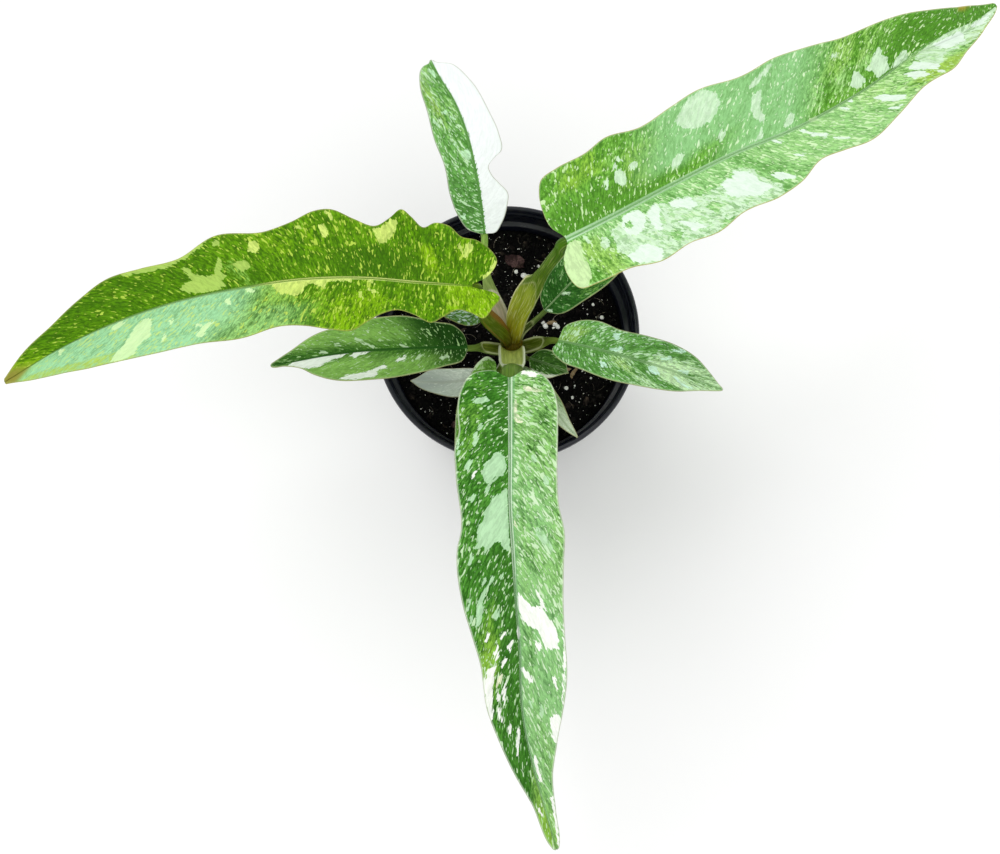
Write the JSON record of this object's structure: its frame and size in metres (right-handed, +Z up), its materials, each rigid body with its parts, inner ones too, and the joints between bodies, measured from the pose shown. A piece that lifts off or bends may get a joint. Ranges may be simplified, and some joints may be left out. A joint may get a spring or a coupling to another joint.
{
  "type": "potted philodendron",
  "caption": "Young houseplant with long, folded, wavy-edged variegated leaves on upright petioles, growing from a short stem in soil in a round tapered nursery pot.",
  "frame": {"origin": "middle of the pot's flat underside, on the surface that the pot stands on", "axes": "+Z up through the pot; +X to the viewer's right and +Y away from the viewer, as in the picture"},
  "size_m": [0.3927, 0.3351, 0.1909],
  "materials": {
    "pot": "thin moulded black nursery plastic with a satin sheen, scuffed along the rolled lip",
    "soil": "dark, damp bark and peat mix with white perlite and a few bark chips",
    "petiole": "smooth olive green petioles with pale lengthwise streaks and pale sheath margins",
    "green_leaf": "satin green leaf, densely flecked and patched with mint and cream along its side veins, with a pale midrib",
    "olive_leaf": "glossier yellow-olive leaf with yellow flecks and patches and a cream midrib",
    "white_leaf": "thin creamy white leaf, dusted with soil at its tip"
  },
  "bodies": {
    "root": {"pot": "pot", "soil": "soil", "stem_and_petioles": "petiole", "leaf_01_upper_right": "green_leaf", "leaf_02_left": "olive_leaf", "leaf_03_front": "green_leaf", "leaf_04_lower_left": "green_leaf", "leaf_05_right": "green_leaf", "leaf_06_back": "green_leaf", "leaf_07_back_right": "green_leaf", "leaf_08_pale_on_soil": "white_leaf", "leaf_09_small_right": "green_leaf", "leaf_10_folded_front": "green_leaf", "leaf_11_under_front": "green_leaf", "leaf_12_under_left": "green_leaf"}
  },
  "joints": []
}
